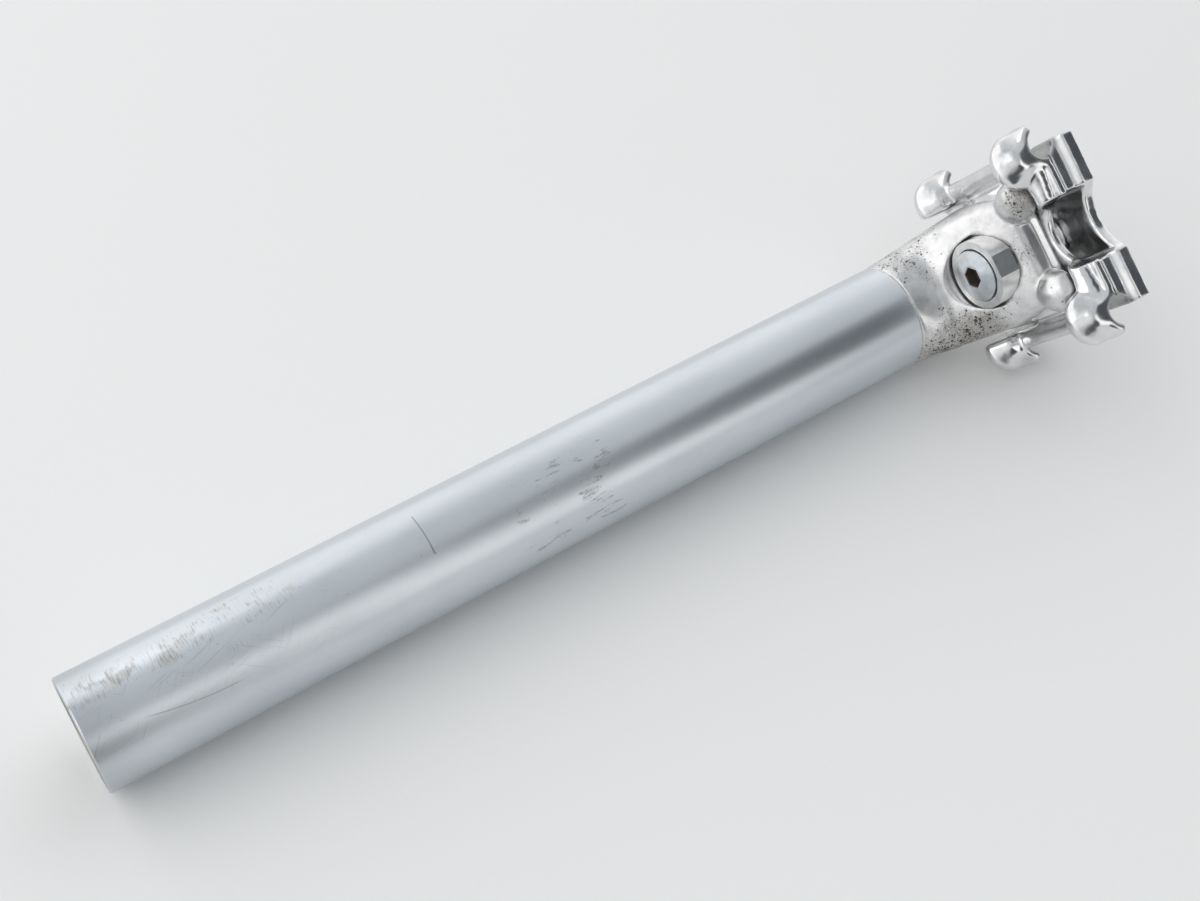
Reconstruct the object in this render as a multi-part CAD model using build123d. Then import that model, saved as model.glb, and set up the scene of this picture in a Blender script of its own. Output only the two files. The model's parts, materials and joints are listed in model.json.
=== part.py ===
from build123d import *
import math
import os

# A bicycle seatpost with one clamp bolt. Sizes are in millimetres, in the post's own axes:
# X runs across the bicycle, Y to its rear, Z up the shaft, and the shaft ends at Z = 0.

# Shaft
shaft_diameter = 27.2
shaft_wall = 2.3
shaft_length = 220.0
end_chamfer = 0.4

# Head
plug_length = 26.0
bond_gap = 0.05
head_width = 34.4
head_front_lean = 6.0
head_widest_at = 16.0
neck_height = 7.5
head_reach = 34.6
head_slices = 18
web_thickness = 6.0
lug_spacing = 24.0
lug_radius = 5.6
lug_stand_out = 6.0
lug_sink = 1.0
lug_dome_end = 80.0
lug_bevels = 4

# Tilting seat between the head and the clamp
seat_to_rear = 10.1
seat_radius = 14.0
seat_rise = 3.2
seat_clearance = 0.35
tilt_back = 9.0
tilt_forward = 1.0
side_clearance = 0.8
edge_gap = 1.8

# Clamp bolt and the collar under its head
bolt_diameter = 7.0
bolt_head_diameter = 13.3
bolt_head_height = 2.6
bolt_crown = 0.9
bolt_proud = 0.6
hex_across_flats = 5.0
hex_depth = 3.0
hex_countersink = 6.4
collar_diameter = 17.7
collar_face_height = 13.0
collar_height = 4.0
collar_flat_width = 5.7
collar_gap = 0.35
slot_clearance = 0.4
thread_clearance = 0.05

# Saddle rails
rail_diameter = 7.0
rail_gauge = 44.0
rail_clearance = 0.05
rail_rise = 6.9

# Lower cradle
clamp_length = 44.0
plate_thickness = 2.6
cradle_valley_depth = 9.9
cradle_valley_radius = 8.6
shelf_wall = 1.9
shelf_reach = 1.2
hook_length = 9.4
lip_drop = 1.2
lip_wall = 2.1
cup_swell = 0.8
heel_radius = 7.0
heel_end_radius = 2.5
heel_flat = 2.0
heel_inset = 1.4
heel_drop = 5.7
arm_radius = 4.3
arm_inner_radius = 2.2
arm_drop = 3.0
arm_end_gap = 0.2
arm_start = 7.0

# Upper clamp
upper_length = 45.0
upper_thickness = 5.6
upper_web_thickness = 5.0
upper_valley_depth = 4.4
upper_valley_radius = 11.4
upper_waist_depth = 5.0
upper_bevel = 1.6
pad_length = 10.0
pad_start = 9.0
channel_width = 17.0
channel_depth = 2.0
boss_diameter = 13.0
boss_rise = 1.4
boss_drop = 1.0
jaw_gap = 0.6

# Heights and radii that follow from those sizes
beyond = 60.0
shaft_radius = shaft_diameter / 2
bore_radius = shaft_radius - shaft_wall
setback = head_reach - seat_to_rear
bolt_radius = bolt_diameter / 2
collar_radius = collar_diameter / 2
web_bottom = collar_face_height + collar_height + seat_clearance
seat_bottom = web_bottom + web_thickness
tilt_height = seat_bottom + seat_radius
web_radius = tilt_height - web_bottom
head_top = seat_bottom + seat_rise
plate_bottom = head_top + edge_gap
plate_top = plate_bottom + plate_thickness
rail_x = rail_gauge / 2
rail_height = seat_bottom + rail_rise
groove_radius = rail_diameter / 2 + rail_clearance
upper_bottom = plate_top + jaw_gap
upper_top = rail_height + groove_radius + upper_thickness
tilt_travel = web_radius * math.sin(math.radians(tilt_back))
tilt_return = web_radius * math.sin(math.radians(tilt_forward))
collar_travel = (tilt_height - collar_face_height) * math.sin(math.radians(tilt_back))


def ease(share):
    """Smooth step from 0 to 1, level at both ends."""
    held = min(max(share, 0.0), 1.0)
    return held * held * (3 - 2 * held)


def egg_outline(half_width, widest, front, rear, squareness):
    """Closed outline, widest at one Y: an ellipse in front of it and squarer corners behind it."""
    points = []
    for step in range(20):
        angle = 2 * math.pi * step / 20
        across = math.cos(angle)
        along = math.sin(angle)
        power = 2 / squareness if along > 0 else 1.0
        depth = rear - widest if along > 0 else widest - front
        x = half_width * math.copysign(abs(across) ** power, across)
        y = widest + depth * math.copysign(abs(along) ** power, along)
        points.append((x, y))
    return make_face(Spline(*points, periodic=True))


def head_section(height):
    """Section of the head at a height: round at the shaft, wide and squared off at the top."""
    share = height / plate_bottom
    half_width = shaft_radius + (head_width / 2 - shaft_radius) * share
    front = head_front_lean * share - shaft_radius
    flare = ease((height - neck_height) / (seat_bottom - neck_height))
    rear = shaft_radius + (head_reach - shaft_radius) * flare
    return Pos(0, 0, height) * egg_outline(half_width, head_widest_at * share, front, rear, 2 + 2 * share)


def across_cylinder(radius):
    """Solid cylinder along X about the tilt axis."""
    return Pos(0, setback, tilt_height) * Rot(0, 90, 0) * Cylinder(radius, 2 * beyond)


def upright_slot(half_width, from_y, to_y, low, high):
    """Upright solid with a round front at from_y and a round back at to_y."""
    front_centre = from_y + half_width
    back_centre = to_y - half_width
    middle = (low + high) / 2
    tall = high - low
    body = Box(2 * half_width, back_centre - front_centre, tall)
    body = Pos(0, (front_centre + back_centre) / 2, middle) * body
    for y in (front_centre, back_centre):
        body += Pos(0, y, middle) * Cylinder(half_width, tall)
    return body


def both_sides(body):
    """A body and its mirror image across the bicycle's middle plane."""
    return body + mirror(body, about=Plane.YZ)


def fore_and_aft(body):
    """A body and its mirror image across the plane through the clamp bolt."""
    return body + mirror(body, about=Plane.XZ.offset(-setback))


def waist(half_length, depth, edge):
    """Cutter for a shallow round waist of that length and depth in the side of a piece."""
    radius = (half_length**2 + depth**2) / (2 * depth)
    return Pos(edge - depth + radius, setback, tilt_height) * Cylinder(radius, 2 * beyond)


# Shaft: a plain drawn tube, open below.
shaft = Pos(0, 0, -shaft_length / 2) * (
    Cylinder(shaft_radius, shaft_length) - Cylinder(bore_radius, shaft_length)
)
shaft = chamfer(shaft.edges().filter_by(GeomType.CIRCLE).group_by(Axis.Z)[0], end_chamfer)

# Head: a forging that leans to the rear, with a plug inside the shaft and a web for the clamp bolt.
heights = [plate_bottom * step / head_slices for step in range(head_slices + 1)]
head = loft([head_section(height) for height in heights], ruled=True)
head += Pos(0, 0, -plug_length / 2) * Cylinder(bore_radius - bond_gap, plug_length)

# Two domed lugs stand out of the head's rear wall, just under its top edge.
lug_x = lug_spacing / 2
lug_y = head_reach + lug_stand_out - lug_radius
dome = [math.radians(lug_dome_end) * step / lug_bevels for step in range(lug_bevels + 1)]
lug_outline = Polyline(
    (0, lug_sink),
    (lug_radius, lug_sink),
    *[(lug_radius * math.cos(angle), -lug_radius * math.sin(angle)) for angle in dome],
    (0, -lug_radius * math.sin(dome[-1])),
    close=True,
)
lug = revolve(Plane.XZ * make_face(lug_outline), Axis.Z)
head += both_sides(Pos(lug_x, lug_y, head_top - lug_sink) * lug)

plate_below_tilt = tilt_height - plate_bottom
front_relief = Box(2 * beyond, beyond, 2 * beyond, align=(Align.CENTER, Align.MAX, Align.MIN))
front_relief = Pos(0, 0, -plate_below_tilt - side_clearance) * front_relief
front_relief = Pos(0, setback, tilt_height) * Rot(tilt_back, 0, 0) * front_relief
rear_relief = Box(2 * beyond, beyond, beyond, align=(Align.CENTER, Align.MIN, Align.MIN))
rear_relief = Pos(0, setback, head_top) * rear_relief
head -= across_cylinder(seat_radius) + front_relief + rear_relief

pocket_radius = collar_radius + tilt_return + collar_gap
pocket_back = setback + pocket_radius + collar_travel
pocket = upright_slot(pocket_radius, setback - pocket_radius, pocket_back, 0, tilt_height)
head -= pocket - across_cylinder(web_radius)

slot_half = bolt_radius + slot_clearance
slot_front = setback - slot_half - tilt_return
slot_back = setback + slot_half + tilt_travel
head -= upright_slot(slot_half, slot_front, slot_back, 0, tilt_height)

# Lower cradle: a forging with a round belly in the head's seat and a hook under each end of each rail.
cradle_back = setback + clamp_length / 2
plate_mid = (plate_bottom + plate_top) / 2
cradle = Pos(0, setback, plate_mid) * Box(2 * rail_x, clamp_length, plate_thickness)
belly_room = Box(head_width, clamp_length, plate_bottom - seat_bottom)
belly = across_cylinder(seat_radius - seat_clearance)
belly &= Pos(0, setback, (plate_bottom + seat_bottom) / 2) * belly_room

hook_half = hook_length / 2
hook_middle = cradle_back - hook_half
cup_end = groove_radius + lip_wall
cup_outline = Polyline(
    (0, -hook_half),
    (cup_end, -hook_half),
    (cup_end + cup_swell, 0),
    (cup_end, hook_half),
    (0, hook_half),
    close=True,
)
hook = Pos(rail_x, hook_middle, rail_height) * revolve(make_face(cup_outline), Axis.Y)
heel_x = rail_x - heel_inset
heel_height = rail_height - heel_drop
heel_outline = Polyline(
    (0, -hook_half),
    (heel_end_radius, -hook_half),
    (heel_radius, -heel_flat / 2),
    (heel_radius, heel_flat / 2),
    (heel_end_radius, hook_half),
    (0, hook_half),
    close=True,
)
hook += Pos(heel_x, hook_middle, heel_height) * revolve(make_face(heel_outline), Axis.Y)
lip_top = rail_height - lip_drop
hook &= Pos(rail_x, hook_middle, lip_top) * Box(
    beyond, 2 * hook_length, beyond, align=(Align.CENTER, Align.CENTER, Align.MAX)
)

arm_y = cradle_back - arm_radius - arm_end_gap
arm_height = rail_height - arm_drop
arm_length = heel_x - arm_start
arm = Rot(0, 90, 0) * Cone(arm_inner_radius, arm_radius, arm_length)
arm = Pos((arm_start + heel_x) / 2, arm_y, arm_height) * arm
arm &= Pos(0, setback, plate_top) * Box(
    beyond, 2 * beyond, beyond, align=(Align.MIN, Align.CENTER, Align.MAX)
)
cradle += fore_and_aft(both_sides(hook + arm))

# A shelf under each rail joins its two hooks.
shelf = Rot(90, 0, 0) * Cylinder(groove_radius + shelf_wall, clamp_length - hook_length)
shelf &= Pos(shelf_reach, 0, -lip_drop) * Box(
    beyond, beyond, beyond, align=(Align.MAX, Align.CENTER, Align.MAX)
)
cradle += both_sides(Pos(rail_x, setback, rail_height) * shelf)

room_front = head_front_lean / 2 - shaft_radius - side_clearance
room_half = head_width / 2 + side_clearance
room_rear = head_reach + side_clearance
head_room = extrude(egg_outline(room_half, head_widest_at / 2, room_front, room_rear, 4), plate_bottom)
lug_room = Pos(lug_x, lug_y, plate_bottom / 2) * Cylinder(lug_radius + side_clearance, plate_bottom)
cradle -= head_room + both_sides(lug_room)
cradle += belly

groove = Pos(rail_x, setback, rail_height) * Rot(90, 0, 0) * Cylinder(groove_radius, 2 * beyond)
mouth = Box(2 * groove_radius, 2 * beyond, beyond, align=(Align.CENTER, Align.CENTER, Align.MIN))
cradle -= both_sides(groove + Pos(rail_x, setback, rail_height) * mouth)

valley_y = cradle_back - cradle_valley_depth + cradle_valley_radius
cradle -= fore_and_aft(Pos(0, valley_y, plate_mid) * Cylinder(cradle_valley_radius, beyond))
cradle -= Pos(0, setback, plate_mid) * Cylinder(bolt_radius + slot_clearance, beyond)

# Upper clamp: a forging with a pad on each end of each rail and a threaded boss for the bolt.
upper_web_bottom = upper_top - upper_web_thickness
upper_web_mid = (upper_top + upper_web_bottom) / 2
upper_back = setback + upper_length / 2
upper = Pos(0, setback, upper_web_mid) * Box(2 * rail_x, upper_length, upper_web_thickness)
upper = chamfer(upper.edges().filter_by(Axis.X).group_by(Axis.Z)[0], upper_bevel)
pad_width = rail_x - pad_start
pad_tall = upper_web_bottom - upper_bottom
pad = Box(pad_width, pad_length, pad_tall, align=(Align.MAX, Align.MAX, Align.MAX))
upper += fore_and_aft(both_sides(Pos(rail_x, upper_back - upper_bevel, upper_web_bottom) * pad))
upper_valley_y = upper_back - upper_valley_depth + upper_valley_radius
upper -= fore_and_aft(Pos(0, upper_valley_y, upper_web_mid) * Cylinder(upper_valley_radius, beyond))
upper -= both_sides(waist(upper_length / 2 - pad_length, upper_waist_depth, rail_x))
channel = Box(channel_width, 2 * beyond, channel_depth, align=(Align.CENTER, Align.CENTER, Align.MIN))
upper -= Pos(0, setback, upper_web_bottom) * channel
boss_bottom = upper_web_bottom - boss_drop
boss_tall = upper_top + boss_rise - boss_bottom
upper += Pos(0, setback, boss_bottom + boss_tall / 2) * Cylinder(boss_diameter / 2, boss_tall)
rail_hole = Pos(rail_x, setback, rail_height) * Rot(90, 0, 0) * Cylinder(groove_radius, 2 * beyond)
upper -= both_sides(rail_hole)
upper -= Pos(0, setback, upper_web_mid) * Cylinder(bolt_radius + thread_clearance, beyond)

# Collar: a turned washer under the bolt's head, hollowed on top to ride on the web, with one flat.
collar_blank = collar_height + collar_radius
head_seat = collar_face_height - bolt_proud + bolt_head_height
collar = Pos(0, setback, collar_face_height + collar_blank / 2) * Cylinder(collar_radius, collar_blank)
collar -= across_cylinder(web_radius + seat_clearance)
flat_at = math.sqrt(collar_radius**2 - (collar_flat_width / 2) ** 2)
flat_cut = Box(collar_diameter, collar_diameter, beyond, align=(Align.CENTER, Align.MIN, Align.CENTER))
collar -= Pos(0, setback + flat_at, collar_face_height) * flat_cut
collar -= Pos(0, setback, head_seat) * Cylinder(bolt_radius + slot_clearance, beyond)
counterbore_tall = head_seat - collar_face_height
counterbore = Cylinder(bolt_head_diameter / 2 + collar_gap, 2 * counterbore_tall)
collar -= Pos(0, setback, collar_face_height) * counterbore

# Clamp bolt: a low head with a shallow cone and a hexagon socket, and a plain shank for its thread.
bolt_rim = collar_face_height - bolt_proud
bolt_end = upper_top + boss_rise
bolt_face = bolt_rim - bolt_crown
bolt_outline = Polyline(
    (0, bolt_face),
    (hex_countersink / 2, bolt_face),
    (bolt_head_diameter / 2, bolt_rim),
    (bolt_head_diameter / 2, head_seat),
    (bolt_radius, head_seat),
    (bolt_radius, bolt_end),
    (0, bolt_end),
    close=True,
)
bolt = revolve(Plane.XZ * make_face(bolt_outline), Axis.Z)
hex_socket = extrude(RegularPolygon(hex_across_flats / 2, 6, major_radius=False), hex_depth)
bolt -= Pos(0, 0, bolt_face) * hex_socket
bolt = Pos(0, setback, 0) * bolt


def hook_above_floor(roll):
    """Height of a front hook over the floor when the shaft lies on it and the post is rolled over."""
    cup_rim = math.sqrt(cup_end**2 - lip_drop**2)
    front_end = 2 * setback - cradle_back
    rims = [
        (rail_x + cup_rim, front_end),
        (heel_x + heel_end_radius, front_end),
        (heel_x + heel_radius, front_end + hook_half - heel_flat / 2),
    ]
    return shaft_radius - max(x * math.sin(roll) - y * math.cos(roll) for x, y in rims)


# The post lies as it comes to rest: the shaft along +X, rolled over until a front hook meets the floor.
roll = 0.0
roll_step = math.pi / 4
for halving in range(40):
    if hook_above_floor(roll + roll_step) > 0:
        roll += roll_step
    roll_step /= 2
lying = Plane(origin=(0, 0, shaft_radius), x_dir=(0, math.cos(roll), math.sin(roll)), z_dir=(1, 0, 0))
pieces = {
    "shaft_tube": shaft,
    "post_head": head,
    "lower_cradle": cradle,
    "upper_clamp": upper,
    "bolt_collar": collar,
    "clamp_bolt": bolt,
}
laid = {name: lying * piece for name, piece in pieces.items()}
extent = Compound(list(laid.values())).bounding_box()
centred = Pos(-extent.center().X, -extent.center().Y, 0)

os.makedirs("parts", exist_ok=True)
for name, piece in laid.items():
    export_step(centred * piece, f"parts/{name}.step")
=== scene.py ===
import bmesh
import bpy
import json
import math
from mathutils import Matrix, Quaternion, Vector


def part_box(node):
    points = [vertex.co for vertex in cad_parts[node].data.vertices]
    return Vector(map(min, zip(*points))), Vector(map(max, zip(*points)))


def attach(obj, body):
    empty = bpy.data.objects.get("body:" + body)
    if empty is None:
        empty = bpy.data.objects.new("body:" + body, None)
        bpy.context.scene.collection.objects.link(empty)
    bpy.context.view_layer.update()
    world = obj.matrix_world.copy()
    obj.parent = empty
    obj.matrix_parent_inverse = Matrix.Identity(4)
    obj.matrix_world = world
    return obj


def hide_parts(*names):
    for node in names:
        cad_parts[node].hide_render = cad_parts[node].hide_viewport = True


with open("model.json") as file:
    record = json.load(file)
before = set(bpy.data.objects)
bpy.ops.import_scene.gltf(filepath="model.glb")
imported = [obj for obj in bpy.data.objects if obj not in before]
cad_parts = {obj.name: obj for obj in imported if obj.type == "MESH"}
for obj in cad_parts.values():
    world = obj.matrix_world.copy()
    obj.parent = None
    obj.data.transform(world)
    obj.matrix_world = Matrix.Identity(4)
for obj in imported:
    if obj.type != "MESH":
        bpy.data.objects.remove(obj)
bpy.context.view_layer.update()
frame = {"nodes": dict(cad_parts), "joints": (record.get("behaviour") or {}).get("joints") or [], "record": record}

# The shaft is a drawn aluminium tube, bored right through and anodised a satin blue-grey.
# It lies along +X; years of sliding in a frame have left rings, stains and scuffs on it.
MM = 0.001
shaft_mount = frame["record"]["mounts"][0]
tilt_joint = frame["joints"][0]
shaft_radius = shaft_mount["dims"]["r_mm"] * MM
shaft_wall = 2.3 * MM
shaft_chamfer = 0.4 * MM
edge_loop = 0.15 * MM
rim_roll = 0.3 * MM
shaft_sides = 160
shaft_low, shaft_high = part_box("shaft_tube")
open_end = shaft_low.x
bore_radius = shaft_radius - shaft_wall
leftward = Vector(tilt_joint["axis"])
upward = Vector((1.0, 0.0, 0.0))
rearward = upward.cross(leftward)
junction = Vector((shaft_high.x, shaft_mount["pos_m"][1], shaft_mount["pos_m"][2]))

# Levels are in millimetres up the post from the top of the shaft, and slants in degrees.
limit_level = -138.0
scuff_level = -104.0
rub_level = -184.0
scratch_level = -197.0
# The next level is where a dark reflection is painted on the shaft, near the head.
dark_reflection_level = -22.0
hair_slants = (-52.0, -18.0, 34.0)
dull_anodising = (0.61, 0.65, 0.685, 1.0)
fresh_anodising = (0.66, 0.7, 0.73, 1.0)
brown_stain = (0.4, 0.35, 0.3, 1.0)
rub_brown = (0.24, 0.22, 0.2, 1.0)
scuff_grey = (0.23, 0.235, 0.24, 1.0)
hair_grey = (0.25, 0.25, 0.25, 1.0)
# The next grey is for the dirt specks and the dull open end, and for the dark reflection painted near the head.
dirt_and_reflection_grey = (0.25, 0.27, 0.29, 1.0)
engraved_grey = (0.12, 0.13, 0.14, 1.0)
bright_rim = (0.9, 0.9, 0.89, 1.0)
oxidised_bore = (0.36, 0.32, 0.27, 1.0)


def post_point(left, rear, up):
    """A point given in millimetres from the top of the shaft: to the left, to the rear and up the post."""
    return junction + (leftward * left + rearward * rear + upward * up) * MM


def add_piece(name, mesh):
    """A smooth-shaded object made of a mesh."""
    for face in mesh.polygons:
        face.use_smooth = True
    piece = bpy.data.objects.new(name, mesh)
    bpy.context.scene.collection.objects.link(piece)
    return piece


def turned_mesh(name, rings, sides):
    """A closed surface turned about the shaft's axis from rings of (distance along X, radius)."""
    work = bmesh.new()
    loops = []
    for along, radius in rings:
        loop = []
        for side in range(sides):
            angle = 2 * math.pi * side / sides
            place = leftward * math.cos(angle) + rearward * math.sin(angle)
            loop.append(work.verts.new(Vector((along, junction.y, junction.z)) + place * radius))
        loops.append(loop)
    for near, far in zip(loops, loops[1:] + loops[:1]):
        for side in range(sides):
            following = (side + 1) % sides
            work.faces.new((near[side], near[following], far[following], far[side]))
    bmesh.ops.recalc_face_normals(work, faces=work.faces)
    mesh = bpy.data.meshes.new(name)
    work.to_mesh(mesh)
    work.free()
    return mesh


class Wire:
    """An output of a node tree. Arithmetic on wires and numbers adds Math nodes."""

    def __init__(self, tree, socket=None):
        self.tree = tree
        self.socket = socket

    def node(self, kind, settings, sockets, output=0):
        """Adds a node: its settings are set first, then the values or links of its sockets."""
        made = self.tree.nodes.new("ShaderNode" + kind)
        for name, value in settings.items():
            setattr(made, name, value)
        for name, value in sockets.items():
            if isinstance(value, Wire):
                self.tree.links.new(value.socket, made.inputs[name])
            else:
                made.inputs[name].default_value = value
        return Wire(self.tree, made.outputs[output] if made.outputs else None)

    def math(self, operation, *values):
        """Adds a Math node that works on the values."""
        return self.node("Math", {"operation": operation}, dict(enumerate(values)))

    def __add__(self, other):
        return self.math("ADD", self, other)

    def __sub__(self, other):
        return self.math("SUBTRACT", self, other)

    def __rsub__(self, other):
        return self.math("SUBTRACT", other, self)

    def __mul__(self, other):
        return self.math("MULTIPLY", self, other)

    __radd__ = __add__
    __rmul__ = __mul__

    def step(self, low, high):
        """Rises smoothly from 0 at low to 1 at high."""
        sockets = {"Value": self, "From Min": low, "From Max": high}
        return self.node("MapRange", {"interpolation_type": "SMOOTHSTEP"}, sockets)

    def hill(self, middle, reach):
        """1 at the middle, falling smoothly to 0 at a distance of reach."""
        return 1 - self.math("ABSOLUTE", self - middle).step(0.0, reach)

    def blend(self, first, second):
        """The first colour where this is 0, the second where it is 1."""
        sockets = {0: self, 6: first, 7: second}
        return self.node("Mix", {"data_type": "RGBA"}, sockets, 2)

    def noise(self, scale, detail=2.0, roughness=0.5):
        """Cloudy noise at places given by this vector, about 0 to 1."""
        sockets = {"Vector": self, "Scale": scale, "Detail": detail, "Roughness": roughness}
        return self.node("TexNoise", {}, sockets)

    def stretch(self, x, y, z):
        """This vector with each axis scaled."""
        return self.node("VectorMath", {"operation": "MULTIPLY"}, {0: self, 1: (x, y, z)})

    def dot(self, axis):
        """How far this vector reaches along an axis."""
        return self.node("VectorMath", {"operation": "DOT_PRODUCT"}, {0: self, 1: axis}, 1)

    def near(self, place, reach):
        """1 round a place, falling smoothly to 0 at a distance of reach."""
        away = self.node("VectorMath", {"operation": "DISTANCE"}, {0: self, 1: place}, 1)
        return away.step(reach, reach * 0.25)


def new_material(name):
    """A material whose surface is still empty, and the wire that starts its nodes."""
    material = bpy.data.materials.new(name)
    material.use_nodes = True
    material.node_tree.nodes.clear()
    return material, Wire(material.node_tree)


def finish_surface(start, **sockets):
    """Ends a material with one Principled shader."""
    names = {name.replace("_", " "): value for name, value in sockets.items()}
    shader = start.node("BsdfPrincipled", {}, names)
    start.node("OutputMaterial", {}, {"Surface": shader})


def bumped(start, height, distance):
    """A normal disturbed by a height, at a distance in metres."""
    return start.node("Bump", {}, {"Height": height, "Distance": distance})


def joined(x, y, z):
    """One vector from three numbers."""
    return x.node("CombineXYZ", {}, {0: x, 1: y, 2: z})


def from_axis(x, y):
    """How far a place is from an axis, from its two offsets."""
    return x.math("POWER", x * x + y * y, 0.5)


def post_axes(start):
    """Millimetres to the left, to the rear and up the post, from the top of the shaft."""
    place = start.node("TexCoord", {}, {}, 3)
    offset = start.node("VectorMath", {"operation": "SUBTRACT"}, {0: place, 1: junction})
    return [offset.dot(axis / MM) for axis in (leftward, rearward, upward)]


def shaft_finish():
    """Satin anodising over fine turning rings, rubbed and stained near the open end.

    Places are in millimetres: along the shaft from its top, and on the arc round it from its rear.
    """
    material, start = new_material("satin_anodised_shaft")
    left, rear, along = post_axes(start)
    in_mm = joined(left, rear, along)
    outside = shaft_radius / MM
    arc = start.math("ARCTAN2", left, rear) * outside
    radius = from_axis(left, rear)
    rings = in_mm.stretch(0.08, 0.08, 3.0).noise(1.0, 3.0, 0.6)
    clouds = in_mm.stretch(0.09, 0.09, 0.03).noise(1.0, 4.0, 0.6)
    speckle = in_mm.noise(2.4, 4.0, 0.7)

    rubbed = along.step(-142.0, -175.0) * arc.hill(9.5, 9.0).step(0.0, 0.7)
    rubbed = start.math("MAXIMUM", rubbed, along.hill(rub_level, 18.0) * arc.hill(2.0, 6.0))
    rub_strokes = in_mm.stretch(0.35, 0.35, 2.9).noise(1.0, 5.0, 0.65)
    rub_clumps = in_mm.stretch(0.2, 0.2, 0.14).noise(1.0, 3.0, 0.6)
    rub = ((rub_strokes * 0.7 + rub_clumps * 0.3) * rubbed).step(0.51, 0.64)
    stain = (rub_clumps * rubbed).step(0.48, 0.7)
    scuffed = along.hill(scuff_level, 24.0).step(0.0, 0.5) * arc.hill(-2.5, 17.0).step(0.0, 0.5)
    scuff_strokes = in_mm.stretch(1.1, 1.1, 0.17).noise(1.0, 3.0, 0.6)
    scuff_clumps = in_mm.noise(0.14, 2.0, 0.5).step(0.36, 0.54)
    scuff = (scuff_strokes * scuffed * scuff_clumps).step(0.5, 0.61) * speckle.step(0.38, 0.54)
    scratched = along.step(-140.0, -165.0) * arc.hill(0.0, 13.0).step(0.0, 0.6)
    hairs = 0.0
    for slant in hair_slants:
        turn = math.radians(slant)
        across = arc * math.cos(turn) + along * math.sin(turn)
        lengthwise = along * math.cos(turn) - arc * math.sin(turn)
        strokes = joined(across, lengthwise, slant).stretch(2.2, 0.07, 1.0).noise(1.0, 2.0, 0.5)
        hairs = hairs + (strokes * scratched).step(0.64, 0.7)
    scratch_run = along - scratch_level
    scratch_bow = -4.0 - scratch_run * 0.12 + scratch_run * scratch_run * 0.006
    scratch = (arc - scratch_bow).hill(0.0, 0.28) * along.hill(scratch_level, 13.0).step(0.0, 0.3)
    # A dark reflection is painted here, cloudy grey, on the side of the shaft facing the camera, near the head.
    painted_reflection = along.hill(dark_reflection_level, 20.0) * arc.hill(-1.0, 8.0) * clouds.step(0.35, 0.65)
    specks = in_mm.noise(1.3, 2.0, 0.5).step(0.72, 0.78)
    limit_line = along.hill(limit_level, 0.3) * arc.step(0.0, 0.5) * arc.step(11.2, 10.7)
    rim = along.step(-0.55, -0.3)
    dull_end = along.step(-205.0, -219.0)
    bore = radius.step(outside - 0.8, outside - 1.6)

    colour = clouds.step(0.3, 0.7).blend(dull_anodising, fresh_anodising)
    colour = (stain * 0.35).blend(colour, brown_stain)
    colour = (rub * 0.5).blend(colour, rub_brown)
    colour = (scuff * 0.6).blend(colour, scuff_grey)
    colour = (hairs * 0.2 + scratch * 0.45).blend(colour, hair_grey)
    # This lays on the painted dark reflection, the dirt specks and the dull open end.
    colour = (painted_reflection * 0.55 + specks * 0.5 + dull_end * 0.25).blend(colour, dirt_and_reflection_grey)
    colour = (limit_line * 0.6).blend(colour, engraved_grey)
    colour = rim.blend(colour, bright_rim)
    colour = (bore * 0.8).blend(colour, oxidised_bore)
    rough = 0.27 + rings * 0.08 + stain * 0.08 + rub * 0.12 + scuff * 0.1 + bore * 0.15 - rim * 0.15
    groove = rings * 0.18 - limit_line - scratch * 0.4 - hairs * 0.1
    finish_surface(start, Base_Color=colour, Metallic=0.95, Roughness=rough,
                   Normal=bumped(start, groove, 0.02 * MM))
    return material


shaft_rings = [
    (shaft_high.x, bore_radius),
    (open_end + shaft_chamfer + edge_loop, bore_radius),
    (open_end + shaft_chamfer, bore_radius + edge_loop / 2),
    (open_end, bore_radius + shaft_chamfer),
    (open_end, bore_radius + shaft_chamfer + edge_loop),
    (open_end, shaft_radius - shaft_chamfer - edge_loop),
    (open_end, shaft_radius - shaft_chamfer),
    (open_end + shaft_chamfer, shaft_radius),
    (open_end + shaft_chamfer + edge_loop, shaft_radius),
    (shaft_high.x - rim_roll - edge_loop, shaft_radius),
    (shaft_high.x - rim_roll, shaft_radius),
    (shaft_high.x, shaft_radius - rim_roll),
    (shaft_high.x, shaft_radius - rim_roll - edge_loop),
]
shaft = add_piece("drawn_shaft", turned_mesh("drawn_shaft", shaft_rings, shaft_sides))
shaft.data.materials.append(shaft_finish())
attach(shaft, "post")
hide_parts("shaft_tube")


# The head is an aluminium forging, polished by hand, with a plug bonded in the top of the shaft.
# Its seat is rounded for the clamp, and road salt has pitted its flanks.
forging_voxel = 0.35 * MM
head_passes = 8
flank_passes = 40
post_turn = Matrix((leftward, rearward, upward))
rail_mount = frame["record"]["mounts"][1]
rail_offset = (Vector(rail_mount["pos_m"]) - junction) / MM
rail_spread = rail_offset.dot(leftward)
rail_level = rail_offset.dot(upward)
bolt_rear = (Vector(tilt_joint["pos_m"]) - junction).dot(rearward) / MM
pocket_reach = 11.5
pocket_fade = 2.5

# The pits come in three sizes, given by their spacing in millimetres.
large_pits = 1.1
small_pits = 0.55
fine_pits = 0.32
grime_start, grime_full = 5.4, 4.0
groove_grime = (0.3, 0.3, 0.3, 1.0)
brown_dirt = (0.33, 0.305, 0.27, 1.0)
pit_black = (0.11, 0.1, 0.09, 1.0)

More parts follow.
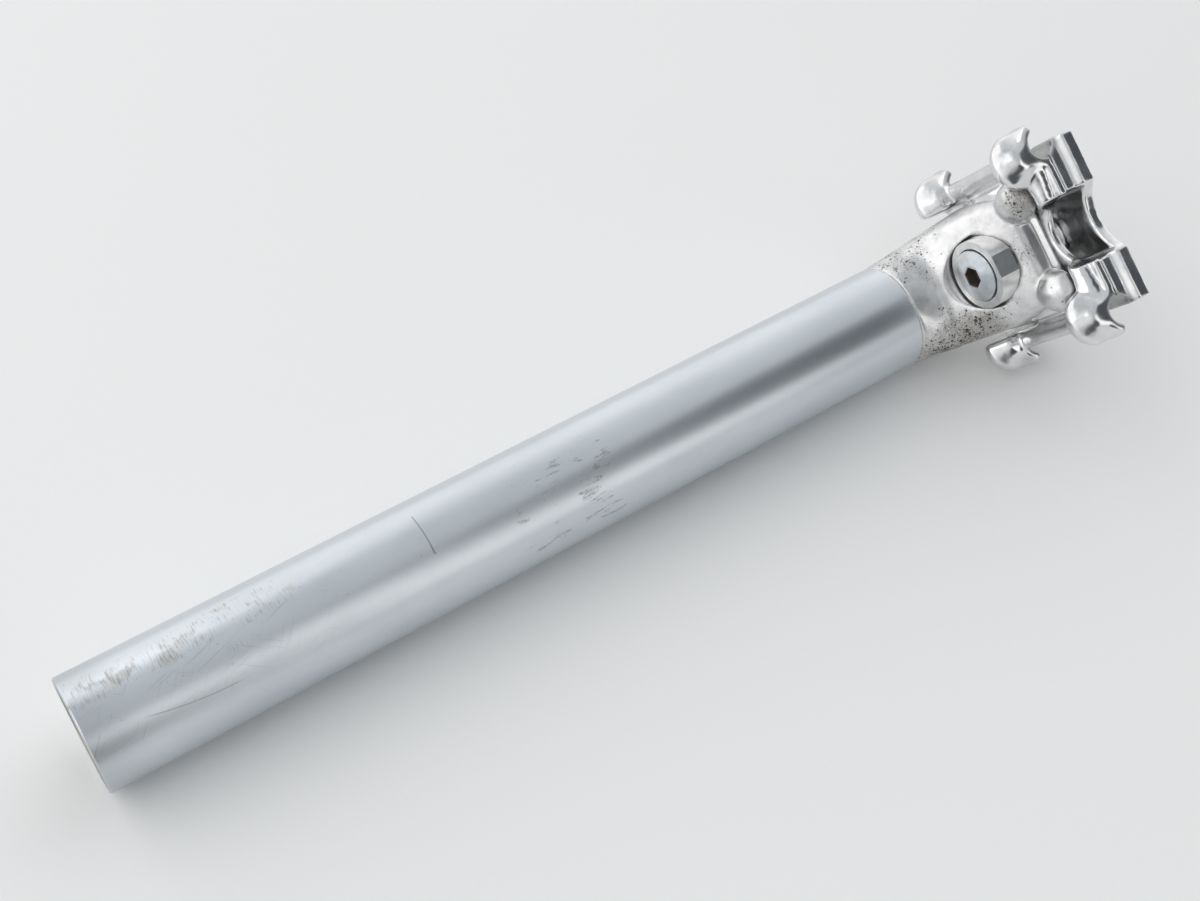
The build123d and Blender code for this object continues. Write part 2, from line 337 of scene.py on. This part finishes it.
# Each patch of pits or dirt is a place in millimetres on the post's axes, a reach and a weight.
head_pits = [
    ((-15.0, 9.0, 8.0), 16.0, 0.8),
    ((-12.0, 22.0, 12.0), 12.0, 0.4),
    ((12.0, 9.0, 6.0), 13.0, 0.55),
    ((0.0, 32.0, 20.0), 9.0, 0.35),
    ((12.0, 37.0, 24.0), 7.0, 0.7),
]
head_dirt = [
    ((-16.0, 9.0, 8.0), 18.0, 1.0),
    ((-15.0, 20.0, 12.0), 12.0, 0.8),
    ((13.0, 9.0, 7.0), 12.0, 0.5),
    ((12.0, 38.0, 24.0), 7.0, 1.1),
]


def relaxed_mesh(piece, passes, group=""):
    """A piece's mesh with its modifiers applied, relaxed in passes by the weights of a group, if any."""
    relaxed = piece.modifiers.new("relaxed", "SMOOTH")
    relaxed.factor = 0.5
    relaxed.iterations = passes
    relaxed.vertex_group = group
    shaped = piece.evaluated_get(bpy.context.evaluated_depsgraph_get())
    return bpy.data.meshes.new_from_object(shaped)


def softened(name, node, voxel, passes):
    """A CAD node's form, meshed evenly along the post's axes and relaxed so that its edges roll over."""
    blank = bpy.data.objects.new(name + "_blank", frame["nodes"][node].data.copy())
    blank.data.transform(post_turn.to_4x4())
    bpy.context.scene.collection.objects.link(blank)
    even = blank.modifiers.new("even_mesh", "REMESH")
    even.mode = "VOXEL"
    even.voxel_size = voxel
    mesh = relaxed_mesh(blank, passes)
    mesh.transform(post_turn.transposed().to_4x4())
    mesh.materials.clear()
    bpy.data.objects.remove(blank)
    piece = add_piece(name, mesh)
    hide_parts(node)
    return piece


def rolled(piece, passes, weigh):
    """Relaxes a piece further, by a weight worked out from the place in millimetres on the post's axes."""
    group = piece.vertex_groups.new(name="rolled")
    for vertex in piece.data.vertices:
        weight = weigh(*(post_turn @ (vertex.co - junction) / MM))
        if weight > 0.0:
            group.add([vertex.index], min(weight, 1.0), "REPLACE")
    mesh = relaxed_mesh(piece, passes, group.name)
    piece.modifiers.clear()
    piece.vertex_groups.clear()
    piece.data = mesh


def pits(place, density, spacing):
    """Round dark pits, about one to each spacing, larger where the density is higher."""
    cells = place.node("TexVoronoi", {}, {"Vector": place, "Scale": 1 / spacing})
    tint = Wire(place.tree, cells.socket.node.outputs["Color"])
    size = tint.dot((0.5, 0.0, 0.0)) * density
    return (size - cells).step(0.0, 0.07)


def forging_finish(name, seed, matt, pitted, stained):
    """Hand-polished aluminium with soft hollows, a grey bloom and grime in the rail grooves.

    The pitted patches have dark pits, and the stained patches have brown dirt.
    """
    material, start = new_material(name)
    left, rear, up = post_axes(start)
    in_mm = joined(left, rear, up)
    grown = start.node("VectorMath", {"operation": "ADD"}, {0: in_mm, 1: (seed, seed, seed)})
    swell = grown.noise(0.17, 2.0, 0.5)
    bloom = grown.noise(0.11, 4.0, 0.6)
    grain = grown.noise(2.2, 3.0, 0.7)
    clumps = grown.noise(0.3, 3.0, 0.6)

    density = clumps.step(0.35, 0.75) * (0.25 + matt * 0.6)
    for place, reach, weight in pitted:
        density = density + in_mm.near(place, reach) * weight
    dirt = 0.0
    for place, reach, weight in stained:
        dirt = dirt + in_mm.near(place, reach) * weight
    dirt = (dirt * grown.noise(0.9, 4.0, 0.7)).step(0.2, 0.6)
    pit = start.math("MAXIMUM", pits(grown, density, small_pits), pits(grown, density, large_pits))
    pit = start.math("MAXIMUM", pit, pits(grown, density * 1.1, fine_pits) * 0.8)
    from_rail = from_axis(start.math("ABSOLUTE", left) - rail_spread, up - rail_level)
    groove = from_rail.step(grime_start, grime_full)

    bright = 0.83 - matt * 0.1
    smoky = 0.69 - matt * 0.2
    clouded = (bloom * 0.6 + clumps * 0.4).step(0.35, 0.65)
    metal = clouded.blend((bright, bright, bright, 1.0), (smoky, smoky, smoky * 1.01, 1.0))
    metal = (groove * (0.45 + clumps * 0.5)).blend(metal, groove_grime)
    metal = (dirt * 0.55).blend(metal, brown_dirt)
    colour = (pit * 0.85).blend(metal, pit_black)
    rough = 0.14 + matt * 0.3 + bloom.step(0.35, 0.75) * 0.14 + pit * 0.3 + dirt * 0.2 + groove * 0.2
    height = swell * 6.0 + grain * 0.12 - pit * 0.8 - dirt * 0.3
    finish_surface(start, Base_Color=colour, Metallic=1.0, Roughness=rough,
                   Normal=bumped(start, height, 0.05 * MM))
    return material


def flank(left, rear, up):
    """0 in the bolt's pocket, 1 on the flanks of the head."""
    return (math.hypot(left, rear - bolt_rear) - pocket_reach) / pocket_fade


head = softened("forged_head", "post_head", forging_voxel, head_passes)
rolled(head, flank_passes, flank)
head.data.materials.append(forging_finish(
    "pitted_forging", seed=31.0, matt=0.55, pitted=head_pits, stained=head_dirt))
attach(head, "post")


# The lower cradle is a forging whose round belly turns in the head's seat.
# A hook at each corner reaches under a saddle rail.
clamp_voxel = 0.3 * MM
cradle_passes = 30
hook_passes = 60
hook_inner = 16.0
groove_edge = 4.2
clamp_pits = [((22.0, 40.0, 28.0), 9.0, 0.35)]
clamp_dirt = [((-22.0, 40.0, 28.0), 8.0, 0.5), ((22.0, 40.0, 30.0), 6.0, 0.5)]


def hook_end(left, rear, up):
    """1 on the outside of a hook, 0 in its groove and on the plate."""
    from_rail = math.hypot(abs(left) - rail_spread, up - rail_level)
    return min(from_rail - groove_edge, abs(left) - hook_inner)


cradle = softened("forged_cradle", "lower_cradle", clamp_voxel, cradle_passes)
rolled(cradle, hook_passes, hook_end)
clamp_forging = forging_finish(
    "polished_forging", seed=7.0, matt=0.0, pitted=clamp_pits, stained=clamp_dirt)
cradle.data.materials.append(clamp_forging)
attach(cradle, "clamp")


# The upper clamp is a forging waisted like an X, tapped for the bolt in its middle.
# Its four ends press on the rails from above.
upper_passes = 24
upper = softened("forged_upper_clamp", "upper_clamp", clamp_voxel, upper_passes)
upper.data.materials.append(clamp_forging)
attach(upper, "clamp")


# The collar is a turned washer with one flat, hollowed on top to ride on the head's web.
# It carries the head of the bolt in a counterbore.
bolt_face = (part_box("clamp_bolt")[0].x - junction.x) / MM
socket_depth = 4.5
socket_outer, socket_inner = 3.05, 2.85
turned_roughness = 0.26
collar_bright = (0.87, 0.87, 0.86, 1.0)
collar_worn = (0.74, 0.74, 0.73, 1.0)
speck_brown = (0.14, 0.12, 0.1, 1.0)
socket_dark_brown = (0.09, 0.065, 0.05, 1.0)


def turned_finish(name, bright, worn):
    """Metal turned about the bolt's axis, a little worn, and very dark brown, duller and rougher in the bolt's
    socket.
    """
    material, start = new_material(name)
    left, rear, up = post_axes(start)
    in_mm = joined(left, rear, up)
    radius = from_axis(left, rear - bolt_rear)
    rings = joined(radius, up, 0.0).stretch(5.0, 5.0, 0.0).noise(1.0, 3.0, 0.6)
    clouds = in_mm.noise(0.45, 4.0, 0.6)
    specks = pits(in_mm, clouds.step(0.35, 0.7) * 0.5, 0.6)
    past_mouth = up.step(bolt_face + 0.1, bolt_face + 0.5)
    above_end = up.step(bolt_face + socket_depth + 1.0, bolt_face + socket_depth)
    # Inside the bolt's socket the colour is a very dark brown, less metallic and rougher.
    socket = radius.step(socket_outer, socket_inner) * (past_mouth * above_end)
    colour = clouds.step(0.35, 0.7).blend(bright, worn)
    colour = (specks * 0.7).blend(colour, speck_brown)
    colour = socket.blend(colour, socket_dark_brown)
    rough = turned_roughness + rings * 0.1 + specks * 0.2 + socket * 0.35
    finish_surface(start, Base_Color=colour, Metallic=1.0 - socket * 0.7, Roughness=rough,
                   Normal=bumped(start, rings - specks * 0.5, 0.012 * MM))
    return material


collar = frame["nodes"]["bolt_collar"]
collar.data.materials.clear()
collar.data.materials.append(turned_finish("satin_turned_collar", collar_bright, collar_worn))


# The clamp bolt is plated steel: a low crowned head with a hexagon socket.
# Its thread is hidden in the upper clamp, and its socket is coloured a very dark brown.
plating_bright = (0.8, 0.84, 0.87, 1.0)
plating_worn = (0.66, 0.69, 0.71, 1.0)
bolt = frame["nodes"]["clamp_bolt"]
bolt.data.materials.clear()
bolt.data.materials.append(turned_finish("plated_bolt", plating_bright, plating_worn))


# The floor is a wide sheet of pale matt paper, and the post lies flat on it.
# One large softbox stands beyond the shaft's open end and lights both from above.
floor_half = 12.0
floor_corners = [(-1, -1), (1, -1), (1, 1), (-1, 1)]
paper_pale = (0.95, 0.95, 0.945, 1.0)
paper_shade = (0.93, 0.93, 0.925, 1.0)
lamp_place = Vector((-1.33, 1.05, 1.19))
lamp_width = 3.5
lamp_height = 2.8
lamp_watts = 29.0


def floor_finish():
    """Matt off-white paper."""
    material, start = new_material("pale_paper")
    place = start.node("TexCoord", {}, {}, 3)
    fibre = place.noise(900.0, 3.0, 0.6)
    colour = fibre.blend(paper_shade, paper_pale)
    finish_surface(start, Base_Color=colour, Roughness=0.9, Specular_IOR_Level=0.1)
    return material


def aim(thing, place, target, twist=0.0):
    """Puts a lamp or camera at a place, looking at a target and turned by a twist in degrees."""
    thing.location = place
    level = (target - place).to_track_quat("-Z", "Y")
    thing.rotation_euler = (level @ Quaternion((0.0, 0.0, 1.0), math.radians(twist))).to_euler()


floor_mesh = bpy.data.meshes.new("paper_floor")
floor_points = [(x * floor_half, y * floor_half, 0.0) for x, y in floor_corners]
floor_mesh.from_pydata(floor_points, [], [(0, 1, 2, 3)])
floor = bpy.data.objects.new("paper_floor", floor_mesh)
bpy.context.scene.collection.objects.link(floor)
floor_mesh.materials.append(floor_finish())

lamp_data = bpy.data.lights.new("back_softbox", "AREA")
lamp_data.shape = "RECTANGLE"
lamp_data.size = lamp_width
lamp_data.size_y = lamp_height
lamp_data.energy = lamp_watts
lamp = bpy.data.objects.new("back_softbox", lamp_data)
bpy.context.scene.collection.objects.link(lamp)
aim(lamp, lamp_place, Vector((0.0, 0.0, 0.0)))


# The room round the table is pale, with a cooler ceiling, shade in front and three dark corners.
# The bare metal mirrors them, and a window too that lights nothing else.
pale_wall = (1.14, 1.14, 1.135, 1.0)
cool_ceiling = (0.63, 0.66, 0.685, 1.0)
wall_by_lamp = (0.4, 0.4, 0.4, 1.0)
front_shade = (0.3, 0.31, 0.32, 1.0)
window_light = (1.25, 1.25, 1.24, 1.0)
corner_shade = (0.075, 0.085, 0.095, 1.0)
backdrop = (0.86, 0.87, 0.87, 1.0)
front_side = (0.1, -1.0, 0.0)
window_side = (0.27, -0.83, 0.45)
dark_corners = [
    ((0.62, -0.5, 0.61), 28.0, 17.0),
    ((0.72, -0.68, 0.1), 18.0, 6.0),
    ((-0.22, -0.93, 0.28), 23.0, 13.0),
]


def patch(facing, towards, outer, inner):
    """1 within an inner angle of a direction, falling to 0 at the outer angle, both in degrees."""
    reach = facing.dot(Vector(towards).normalized())
    return reach.step(math.cos(math.radians(outer)), math.cos(math.radians(inner)))


world = bpy.data.worlds.new("studio_room")
bpy.context.scene.world = world
world.use_nodes = True
world.node_tree.nodes.clear()
sky = Wire(world.node_tree)
facing = sky.node("TexCoord", {}, {}, 0)
zenith = facing.dot((0.0, 0.0, 1.0))
room = zenith.step(0.4, 0.97).blend(pale_wall, cool_ceiling)
room = patch(facing, lamp_place, 45.0, 25.0).blend(room, wall_by_lamp)
room = (patch(facing, front_side, 75.0, 35.0) * 0.75).blend(room, front_shade)
mirrored = sky.node("LightPath", {}, {}, "Is Glossy Ray")
window = patch(facing, window_side, 32.0, 14.0) * mirrored
room = window.blend(room, window_light)
for towards, outer, inner in dark_corners:
    room = patch(facing, towards, outer, inner).blend(room, corner_shade)
seen = sky.node("LightPath", {}, {}, "Is Camera Ray")
room = seen.blend(room, backdrop)
background = sky.node("Background", {}, {"Color": room, "Strength": 1.0})
sky.node("OutputWorld", {}, {"Surface": background})


# The camera looks down on the post from its rear, about 0.4 m away.
# Its lens is of about normal length, and it is turned slightly about its line of sight.
photo_width = 1200
focal_pixels = 1610
camera_twist = 1.94
camera_place = post_point(15.7, 357.9, -225.1)
camera_target = post_point(3.4, 0.0, -87.4)
camera_data = bpy.data.cameras.new("camera")
camera_data.sensor_width = 36.0
camera_data.lens = camera_data.sensor_width * focal_pixels / photo_width
camera = bpy.data.objects.new("camera", camera_data)
bpy.context.scene.collection.objects.link(camera)
aim(camera, camera_place, camera_target, camera_twist)
bpy.context.scene.camera = camera
bpy.context.scene.view_settings.view_transform = "Standard"
